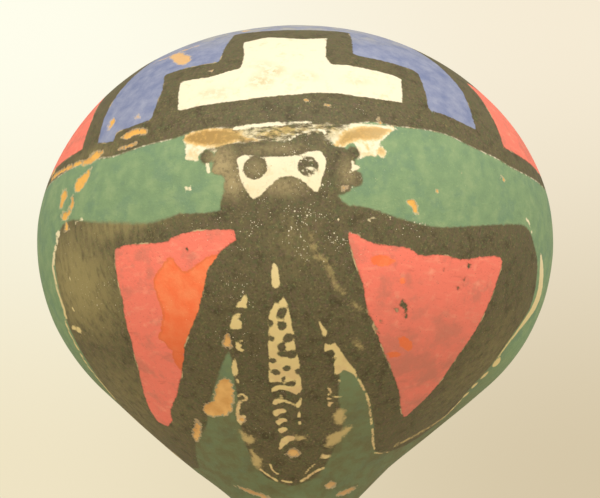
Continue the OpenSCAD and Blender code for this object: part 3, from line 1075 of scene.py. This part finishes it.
class GourdPaints:
    """The noises that the gourd's paints share, and one method for each paint's colour."""

    def __init__(self, t):
        self.t = t
        self.broad = t.noise(0.10, 3)
        self.mid = t.noise(0.45, 4)
        self.small = t.noise(1.3, 3, 0.6)
        self.fine = t.noise(2.6, 4, 0.65)
        self.fray = t.times(t.plus(t.noise(1.3, 4, 0.6), -0.5), 0.75)
        place = t.add("SeparateXYZ", {0: t.mm})
        self.height = place.outputs[2]
        self.low = t.between(self.height, WIDEST_Z - 20, WIDEST_Z - 38)
        self.right = t.between(place.outputs[0], 0, 20, 0.25, 1)

    def cover(self, name, soft=0.14, ragged=1.0):
        t = self.t
        return t.between(t.plus(t.field(name), t.times(self.fray, ragged)), -soft, soft)

    def ground(self):
        t = self.t
        colour = t.tones(self.mid, (0.35, CREAM_WARM), (0.5, CREAM))
        return t.mix(t.between(self.broad, 0.45, 0.3), colour, CREAM)

    def ochre(self):
        """Ochre wash: olive-brown in its middle, orange and yellow at its rim."""
        t = self.t
        colour = t.tones(self.mid, (0.3, OCHRE_MID), (0.5, OCHRE_PALE), (0.8, CREAM_WARM))
        colour = t.mix(t.times(self.right, 0.6), colour, CREAM_WARM)
        core = t.plus(t.field("smear"), t.times(self.fray, 1.6))
        middle = t.tones(self.small, (0.52, OCHRE), (0.75, OCHRE_MID))
        strength = t.times(t.between(core, 0.1, 0.8), t.plus(1.15, t.times(self.right, -0.7)))
        return t.mix(strength, colour, middle)

    def green(self):
        t = self.t
        colour = t.tones(self.mid, (0.2, GREEN_DARK), (0.5, GREEN), (1.0, GREEN_PALE))
        colour = t.lay(colour, GREEN_BLUE, t.noise(0.22, 5, 0.65), 0.48, 0.64, 0.6)
        colour = t.lay(colour, GREEN_PALE, self.fine, 0.55, 0.75, 0.6)
        scratched = t.speckles(1.3, 0.16, 0.4, t.scaled(t.mm, (1, 1, 0.5)))
        colour = t.mix(t.times(scratched, 0.7), colour, GREEN_SCRATCH)
        dirty = t.between(self.mid, 0.3, 0.7, 0.5, 0.85)
        return t.mix(t.times(self.low, dirty), colour, GRIME)

    def dark(self):
        """Black that has gone brown, green and purple, and faded to olive in streaks."""
        t = self.t
        colour = t.tones(self.mid, (0.3, DARK_DEEP), (0.5, DARK))
        colour = t.lay(colour, DARK_GREEN, self.small, 0.50, 0.62, 0.8)
        colour = t.lay(colour, DARK_PURPLE, t.noise(1.7, 3, 0.6), 0.52, 0.64, 0.7)
        colour = t.lay(colour, DARK_DEEP, self.fine, 0.47, 0.33, 0.8)
        colour = t.lay(colour, DARK_FADED, self.fine, 0.54, 0.70, 0.5)
        streak = t.noise((0.9, 0.9, 0.25), 4, 0.65)
        faded = t.field("faded")
        streaked = t.between(t.plus(streak, t.times(faded, 0.25)), 0.36, 0.76)
        colour = t.mix(t.times(t.plus(faded, 0.08), streaked), colour, DARK_FADED)
        hazy = t.times(t.field("haze"), t.between(self.small, 0.3, 0.6, 0.5, 1.1))
        return t.mix(hazy, colour, HAZE)

    def red(self):
        t = self.t
        colour = t.tones(self.mid, (0.3, RED), (0.6, RED), (0.8, RED_PALE))
        brush = t.noise((0.3, 0.3, 1.1), 4, 0.6)
        colour = t.lay(colour, RED_PALE, brush, 0.52, 0.78, 0.6)
        colour = t.lay(colour, RED_DEEP, brush, 0.42, 0.25, 0.5)
        colour = t.lay(colour, RED_DEEP, self.fine, 0.42, 0.28, 0.7)
        worn_edge = t.plus(t.field("red"), t.times(self.fray, 1.4))
        colour = t.lay(colour, RED_DEEP, worn_edge, 0.35, 0, 0.45)
        dots = t.math("MAXIMUM", t.speckles(1.6, 0.28, 0.5), t.speckles(0.6, 0.09, 0.8))
        colour = t.mix(t.times(dots, 0.7), colour, DARK)
        cloud = t.noise(0.2, 4, 0.6)
        colour = t.lay(colour, RED_DUSTY, cloud, 0.5, 0.66, 0.55)
        down = t.between(self.height, WIDEST_Z - 10, WIDEST_Z - 34)
        dust = t.times(t.times(down, self.right), t.between(cloud, 0.35, 0.6, 0.35, 0.9))
        return t.mix(dust, colour, RED_DUSTY)

    def wash(self):
        """Red that has run, with a darker line where it dried."""
        t = self.t
        edge = t.plus(t.field("wash"), t.times(self.fray, 1.2))
        rim = t.times(t.between(edge, -0.2, 0.05), t.between(edge, 0.55, 0.15))
        dried = t.plus(0.7, t.times(self.right, -0.7))
        inside = t.tones(self.mid, (0.4, ORANGE), (0.7, ORANGE_PALE))
        # darker further down the wash
        further_down = t.between(self.height, WIDEST_Z - 20, WIDEST_Z - 28, 0, 0.7)
        inside = t.mix(further_down, inside, ORANGE_DEEP)
        return t.between(edge, -0.15, 0.15), t.mix(t.times(rim, dried), inside, ORANGE_DEEP)

    def blue(self):
        t = self.t
        colour = t.tones(self.mid, (0.3, BLUE), (0.8, BLUE_PALE))
        high = t.between(self.height, CROWN_Z - 18, CROWN_Z - 4)
        worn = t.between(t.noise(0.3, 4, 0.65), 0.45, 0.62, 0.3, 0.85)
        return t.mix(t.times(high, worn), colour, BLUE_WORN)

    def pale(self):
        t = self.t
        warm = t.between(t.noise(0.6, 4, 0.65), 0.54, 0.70, 0, 0.4)
        # painted shade: the pale paint turns darker and yellower towards the bottom
        low = t.between(self.height, WIDEST_Z + 8, WIDEST_Z - 24, 0, 0.95)
        colour = t.mix(low, CREAM, CREAM_SHADED)
        colour = t.mix(warm, colour, CREAM_WARM)
        tan = t.times(self.low, t.between(self.mid, 0.45, 0.6, 0.1, 0.8))
        colour = t.mix(tan, colour, CREAM_TAN)
        stained = t.times(t.field("stain"), t.between(t.noise(0.9, 3, 0.6), 0.38, 0.56))
        colour = t.mix(t.times(stained, 0.65), colour, STAIN)
        dots = t.speckles(0.8, 0.16, 0.5)
        return t.mix(t.times(dots, 0.8), colour, STAIN)

    def bare(self):
        """The gourd's own skin where everything has flaked off, with painted shade low on the cone and
        painted light above the wings.
        """
        t = self.t
        colour = t.tones(self.mid, (0.35, GOURD), (0.7, GOURD_PALE))
        # painted shade: the bare gourd is darker low on the cone
        colour = t.lay(colour, GOURD_SHADED, self.height, WIDEST_Z - 41, WIDEST_Z - 45, 0.6)
        # painted light: the bare gourd is brighter above the wings, in patches
        above_wings = t.between(self.height, WIDEST_Z - 14, WIDEST_Z - 8)
        painted_light = t.times(above_wings, t.between(self.mid, 0.35, 0.55, 0.2, 0.7))
        colour = t.mix(painted_light, colour, GOURD_LIT)
        return t.lay(colour, GOURD_PEACH, self.height, WIDEST_Z + 14, WIDEST_Z + 18, 0.9)


def painted_gourd():
    """Cream ground, then the paints in the order they were laid, then wear down to the gourd."""
    material, t = new_material("painted_gourd")
    paints = GourdPaints(t)
    fray = paints.fray
    colour = t.mix(paints.cover("smear", 0.3, 2.2), paints.ground(), paints.ochre())
    colour = t.mix(t.times(t.field("scumble"), t.between(paints.small, 0.3, 0.6, 0.4, 0.9)), colour, OLIVE)
    green_cover = paints.cover("green", 0.16, 1.3)
    colour = t.mix(green_cover, colour, paints.green())

    dragged = t.noise((0.6, 0.6, 1.6), 5, 0.7)
    scumble = t.times(t.plus(t.times(dragged, 12), -4.6), t.field("scumble"))
    thin = t.plus(t.plus(t.times(t.field("scumble"), 4.0), t.times(t.field("faded"), 1.4)), 1.0)
    dark_edge = t.math("DIVIDE", t.plus(t.plus(t.field("dark"), fray), scumble), thin)
    dark_cover = t.between(dark_edge, -0.28, 0.24)
    colour = t.mix(dark_cover, colour, paints.dark())
    rubbed = t.times(paints.cover("scrape", 0.5, 2.8), t.plus(t.times(paints.low, 0.4), 0.4))
    colour = t.mix(rubbed, colour, RUBBED)

    # red and blue panels, with a broken line of ground left along their edges
    broken = t.between(t.noise(0.35, 3), 0.52, 0.66)
    for name in ("red", "blue"):
        edge = t.plus(t.field(name), t.times(fray, 0.8))
        gap = t.times(t.between(edge, -0.30, -0.15), broken)
        colour = t.mix(t.times(gap, 0.6), colour, CREAM_WARM)
    wash_cover, wash = paints.wash()
    red_cover = paints.cover("red", 0.13, 0.9)
    colour = t.mix(red_cover, colour, t.mix(wash_cover, paints.red(), wash))
    blue_cover = paints.cover("blue", 0.13, 0.9)
    colour = t.mix(blue_cover, colour, paints.blue())
    colour = t.mix(paints.cover("pale", 0.13, 0.85), colour, paints.pale())

    # flecks where the paint has popped off, in clusters
    cluster = t.between(t.noise(0.3, 3), 0.38, 0.62, 0.3, 1.0)
    weight = t.plus(t.times(t.times(t.field("speckle"), cluster), 0.70), 0.04)
    flecks = 0.0
    for scale, largest in FLECK_SIZES:
        flecks = t.math("MAXIMUM", flecks, t.speckles(scale, weight, largest))
    flecks = t.times(flecks, t.math("MAXIMUM", dark_cover, t.times(green_cover, 0.8)))
    colour = t.mix(t.times(flecks, 0.8), colour, CREAM)

    # chips down to the gourd, with a rim of ground
    chip_edge = t.plus(t.field("chip"), t.times(fray, 2.2))
    colour = t.lay(colour, CHIP_RIM, chip_edge, -0.24, -0.08, 0.4)
    chip = t.between(chip_edge, -0.02, 0.22)
    colour = t.mix(chip, colour, paints.bare())

    paint_height = t.times(t.plus(dark_cover, t.math("MAXIMUM", red_cover, blue_cover)), 0.04)
    height = t.plus(t.times(paints.fine, 0.05), t.plus(paint_height, t.times(paints.small, 0.05)))
    height = t.plus(height, t.times(t.math("MAXIMUM", chip, flecks), -0.09))
    t.surface(colour, t.between(paints.fine, 0.3, 0.75, 0.52, 0.8), height, specular=0.3)
    return material


def bare_gourd():
    """The dry, fibrous inside of the gourd."""
    material, t = new_material("bare_gourd")
    fibre = t.noise((1.2, 1.2, 0.3), 5, 0.65, 0.6)
    blotch = t.noise(0.12, 3)
    colour = t.tones(fibre, (0.3, FIBRE_DARK), (0.6, FIBRE), (0.8, FIBRE_PALE))
    colour = t.lay(colour, FIBRE_BLOTCH, blotch, 0.4, 0.7, 0.6)
    t.surface(colour, t.between(fibre, 0.3, 0.7, 0.7, 0.95), t.times(fibre, 0.25), specular=0.2)
    return material


PITH_X, PITH_Y = -17.0, 9.0
RING_PITCH = 2.1


def handle_wood():
    """Turned wood: growth rings about an off-centre pith, long pores, and a hand-darkened grip."""
    material, t = new_material("handle_wood")
    bend = t.noise((0.05, 0.05, 0.012), 2)
    parts = t.add("SeparateXYZ", {0: t.mm})
    x = t.plus(parts.outputs[0], -PITH_X)
    y = t.plus(parts.outputs[1], -PITH_Y)
    from_pith = t.math("SQRT", t.plus(t.times(x, x), t.times(y, y)))
    ring = t.math("FRACT", t.times(t.plus(from_pith, t.times(bend, 9.0)), 1 / RING_PITCH))
    ring = t.plus(ring, t.times(t.plus(t.noise(0.9, 3), -0.5), 0.25))
    colour = t.tones(ring, (0.05, WOOD_PALE), (0.55, WOOD), (0.86, WOOD_DARK), (1.0, WOOD_PALE))
    pores = t.noise((3.2, 3.2, 0.11), 3, 0.7)
    pore = t.between(pores, 0.56, 0.68)
    colour = t.mix(t.times(pore, 0.55), colour, WOOD_DARK)
    height_up = parts.outputs[2]
    worn = t.times(t.between(height_up, 15, 45), t.between(height_up, 105, 80))
    worn = t.times(worn, t.between(t.noise(0.05, 3), 0.35, 0.6))
    colour = t.mix(t.times(worn, 0.45), colour, WOOD_HELD)
    grime = t.between(t.noise(0.35, 4, 0.6), 0.58, 0.72)
    colour = t.mix(t.times(grime, 0.25), colour, WOOD_GRIME)
    scratches = t.between(t.noise((0.3, 0.3, 5.0), 2), 0.66, 0.74)
    roughness = t.plus(t.between(worn, 0, 1, 0.58, 0.36), t.times(pore, 0.2))
    height = t.plus(t.times(pore, -0.05), t.plus(t.times(ring, 0.03), t.times(scratches, -0.03)))
    t.surface(colour, roughness, height, specular=0.4)
    return material


def putty():
    """Glue and sawdust, dried hard and handled."""
    material, t = new_material("putty")
    grain = t.noise(2.4, 4, 0.7)
    blotch = t.noise(0.3, 3)
    colour = t.tones(grain, (0.3, PUTTY_DARK), (0.6, PUTTY), (0.8, PUTTY_PALE))
    colour = t.lay(colour, PUTTY_BLOTCH, blotch, 0.5, 0.7, 0.5)
    t.surface(colour, t.between(grain, 0.3, 0.7, 0.5, 0.85), t.times(grain, 0.18), specular=0.3)
    return material


def peg_wood():
    """A split hardwood peg, cut off flush."""
    material, t = new_material("peg_wood")
    fibre = t.noise((0.3, 4.0, 4.0), 3, 0.6)
    colour = t.tones(fibre, (0.35, PEG_DARK), (0.65, PEG_PALE))
    t.surface(colour, t.between(fibre, 0.3, 0.7, 0.5, 0.8), t.times(fibre, 0.08), specular=0.3)
    return material


def seed_husk():
    """Dry seeds, wrinkled and dusty."""
    material, t = new_material("seed_husk")
    wrinkle = t.noise(0.9, 4, 0.6, 0.8)
    dust = t.noise(0.4, 3)
    colour = t.tones(wrinkle, (0.3, HUSK_DARK), (0.55, HUSK), (0.8, HUSK_PALE))
    colour = t.lay(colour, HUSK_DUST, dust, 0.5, 0.7, 0.4)
    t.surface(colour, t.between(wrinkle, 0.3, 0.7, 0.4, 0.7), t.times(wrinkle, 0.25), specular=0.4)
    return material


# ---------------------------------------------------------------- the other pieces


def even_columns(count):
    return np.linspace(0, 360, count, endpoint=False)


def handle(material):
    """The turned grip with its rounded butt and its tenon."""
    top = handle_high.z
    line = np.r_[
        [(0.6, 0)],
        arc((NECK_R - BUTT_ROUND, BUTT_ROUND), BUTT_ROUND, -math.pi / 2, 0, 12),
        [(NECK_R, SHOULDER_Z - BEVEL), (NECK_R - BEVEL, SHOULDER_Z), (TENON_R, SHOULDER_Z)],
        [(TENON_R, top - BEVEL), (TENON_R - BEVEL, top), (0.6, top)],
    ]
    line = resample(line, 0.75)
    degrees = even_columns(160)
    points = turned_points(degrees, line[:, 0], line[:, 1])
    out = points * (1, 1, 0) / np.maximum(np.hypot(points[:, 0], points[:, 1]), 1)[:, None]
    grip = (points[:, 2] > 1) & (points[:, 2] < SHOULDER_Z - BEVEL)
    tool_marks = 0.02 * np.sin(points[:, 2] * 2 * math.pi / TOOL_PITCH)
    swell = 0.10 * noise_at(points * (1, 1, 0.3), 14, 2) - 0.10 + tool_marks
    points = points + out * (swell * grip)[:, None]
    vertices = np.r_[[(0, 0, 0)], points, [(0, 0, top)]]
    piece = mesh_object("handle_turned", vertices, ring_faces(len(line), len(degrees)), material)
    finish_piece(piece, "maraca", "handle_wood", "handle")


def putty_bead(material):
    """The uneven bead between the neck and the handle's shoulder."""
    low, high = putty_low.z, putty_high.z
    middle, half = (low + high) / 2, (high - low) / 2
    proud = putty_high.x - NECK_R
    turns, sides = 220, 18
    vertices = []
    for i in range(turns):
        angle = 2 * math.pi * i / turns
        out = Vector((math.sin(angle), -math.cos(angle), 0))
        swell = noise.noise(out * 5) * 0.22
        spread = 1 + noise.noise(out * 7 + Vector((4, 0, 0))) * 0.35
        for k in range(sides):
            a = 2 * math.pi * k / sides
            depth = proud + swell if math.cos(a) > 0 else BEVEL
            r = NECK_R - 0.05 + depth * math.cos(a)
            z = middle + half * spread * 0.95 * math.sin(a)
            rough = 0.05 * noise.noise(out * 40 + Vector((0, 0, a * 2)))
            vertices.append(((r + rough) * out.x, (r + rough) * out.y, z))
    faces = []
    for i in range(turns):
        a, b = i * sides, (i + 1) % turns * sides
        for k in range(sides):
            nxt = (k + 1) % sides
            faces.append((a + k, b + k, b + nxt, a + nxt))
    piece = mesh_object("putty_bead", vertices, faces, material)
    finish_piece(piece, "maraca", "putty", "neck_putty")


def peg(side, node, material):
    """A peg whose outer end is cut rough and stands a little proud."""
    tip = PEG_LEN + PEG_CROWN
    line = resample(np.array([
        (0.05, 0), (0.7, 0), (PEG_R, 0.3), (PEG_R, PEG_LEN - 0.25), (PEG_R - 0.2, PEG_LEN), (0.05, tip),
    ]), 0.3)
    degrees = even_columns(32)
    turned = turned_points(degrees, line[:, 0], line[:, 1])
    turned = turned + 0.04 * noise_at(turned, 0.8, 7)[:, None]
    turned = np.r_[[(0, 0, 0)], turned, [(0, 0, tip)]]
    along = side * (NECK_R - PEG_LEN + turned[:, 2])
    vertices = np.c_[along, turned[:, 0], PEG_Z + turned[:, 1]]
    name = "peg_end_left" if side < 0 else "peg_end_right"
    piece = mesh_object(name, vertices, ring_faces(len(line), len(degrees)), material)
    finish_piece(piece, "maraca", "peg_wood", node)


def seed(node, body, material):
    """A seed: its CAD solid's vertices are its place and size, with a dry skin's dents."""
    source = frame["nodes"][node].data
    work = bmesh.new()
    work.from_mesh(source)
    bmesh.ops.remove_doubles(work, verts=work.verts, dist=1e-6)
    centre = sum((v.co for v in work.verts), Vector()) / len(work.verts)
    for vertex in work.verts:
        reach = vertex.co - centre
        dent = noise.noise(vertex.co * 450) * 0.05 + noise.noise(vertex.co * 1100) * 0.025
        vertex.co = centre + reach * (0.95 + dent)
    mesh = bpy.data.meshes.new(node + "_husk")
    work.to_mesh(mesh)
    work.free()
    mesh.materials.clear()
    mesh.materials.append(material)
    mesh.shade_smooth()
    piece = bpy.data.objects.new(node + "_husk", mesh)
    bpy.context.scene.collection.objects.link(piece)
    finish_piece(piece, body, "seed_husk", node)


# ---------------------------------------------------------------- stage, lights and camera

FLOOR_HALF = 4000
CAMERA_TILT = math.radians(14.5)
CAMERA_DISTANCE = 237.8


def floor():
    """A wide pale floor at the handle's foot."""
    material, t = new_material("pale_floor")
    tone = t.noise(0.004, 3)
    colour = t.tones(tone, (0.3, (0.70, 0.64, 0.52)), (0.7, (0.74, 0.68, 0.56)))
    t.surface(colour, t.between(tone, 0, 1, 0.85, 0.95), 0.0, specular=0.1)
    corners = [(x * FLOOR_HALF, y * FLOOR_HALF, 0) for x, y in ((-1, -1), (1, -1), (1, 1), (-1, 1))]
    plane = mesh_object("floor", corners, [(0, 1, 2, 3)], material)


def world():
    """A pale warm wall behind the object with painted light and shade on it, and a softer light from all
    round.
    """
    sky = bpy.data.worlds.new("soft_room")
    bpy.context.scene.world = sky
    t = Tree(sky)
    way = t.add("SeparateXYZ", {0: t.add("TexCoord").outputs["Generated"]})
    across, up = way.outputs[0], way.outputs[2]
    # painted light and shade on the wall: brighter at the top and left, darker lower down and to the right
    left = t.tones(t.between(up, 0.05, 0.42), (0.0, (0.86, 0.77, 0.55)), (1.0, (1.0, 0.99, 0.84)))
    right = t.tones(t.between(up, 0.05, 0.42), (0.0, (0.67, 0.57, 0.39)), (1.0, (0.92, 0.83, 0.66)))
    wall = t.mix(t.between(across, -0.24, 0.24), left, right)
    seen = t.add("Background", {0: wall, 1: 1.0})
    light = t.add("Background", {0: (1.0, 0.92, 0.74, 1.0), 1: 0.55})
    camera_ray = t.add("LightPath").outputs["Is Camera Ray"]
    both = t.add("MixShader", {0: camera_ray, 1: light.outputs[0], 2: seen.outputs[0]})
    t.add("OutputWorld", {0: both.outputs[0]})


def area_light(name, place, size, power, colour, target):
    data = bpy.data.lights.new(name, "AREA")
    data.size = size
    data.energy = power
    data.color = colour
    lamp = bpy.data.objects.new(name, data)
    lamp.location = place
    lamp.rotation_euler = (Vector(target) - Vector(place)).to_track_quat("-Z", "Y").to_euler()
    bpy.context.scene.collection.objects.link(lamp)


def lights():
    """A key lamp in front and above, and a small one at each side. Places and sizes are in metres."""
    head = (0, 0, WIDEST_Z * MM)
    area_light("key", (-0.05, -0.9, 0.95), 0.7, 9.3, (1.0, 0.93, 0.79), head)
    area_light("left", (-0.95, -0.75, 0.12), 0.2, 2.6, (1.0, 0.92, 0.72), head)
    area_light("right", (0.95, -0.5, 0.5), 0.4, 3.2, (1.0, 0.92, 0.77), head)


def camera():
    """Low in front of the head, looking up at it."""
    data = bpy.data.cameras.new("camera")
    data.lens = 72
    data.sensor_width = 36
    data.shift_x = 0.0083
    data.shift_y = -0.0065
    data.clip_start = 0.01
    data.clip_end = 50
    eye = bpy.data.objects.new("camera", data)
    back, down = math.cos(CAMERA_TILT) * CAMERA_DISTANCE, math.sin(CAMERA_TILT) * CAMERA_DISTANCE
    eye.location = Vector((0, -back, WIDEST_Z - down)) * MM
    eye.rotation_euler = (math.pi / 2 + CAMERA_TILT, 0, 0)
    bpy.context.scene.collection.objects.link(eye)
    bpy.context.scene.camera = eye


def build():
    gourd_shell(painted_gourd(), bare_gourd())
    handle(handle_wood())
    putty_bead(putty())
    pegs = peg_wood()
    peg(-1, "peg_left", pegs)
    peg(1, "peg_right", pegs)
    husk = seed_husk()
    for body, members in frame["record"]["behaviour"]["bodies"].items():
        for node in members:
            if node.startswith("seed_"):
                seed(node, body, husk)
    floor()
    world()
    lights()
    camera()
    bpy.context.scene.view_settings.view_transform = "Standard"


build()

bpy.context.view_layer.update()
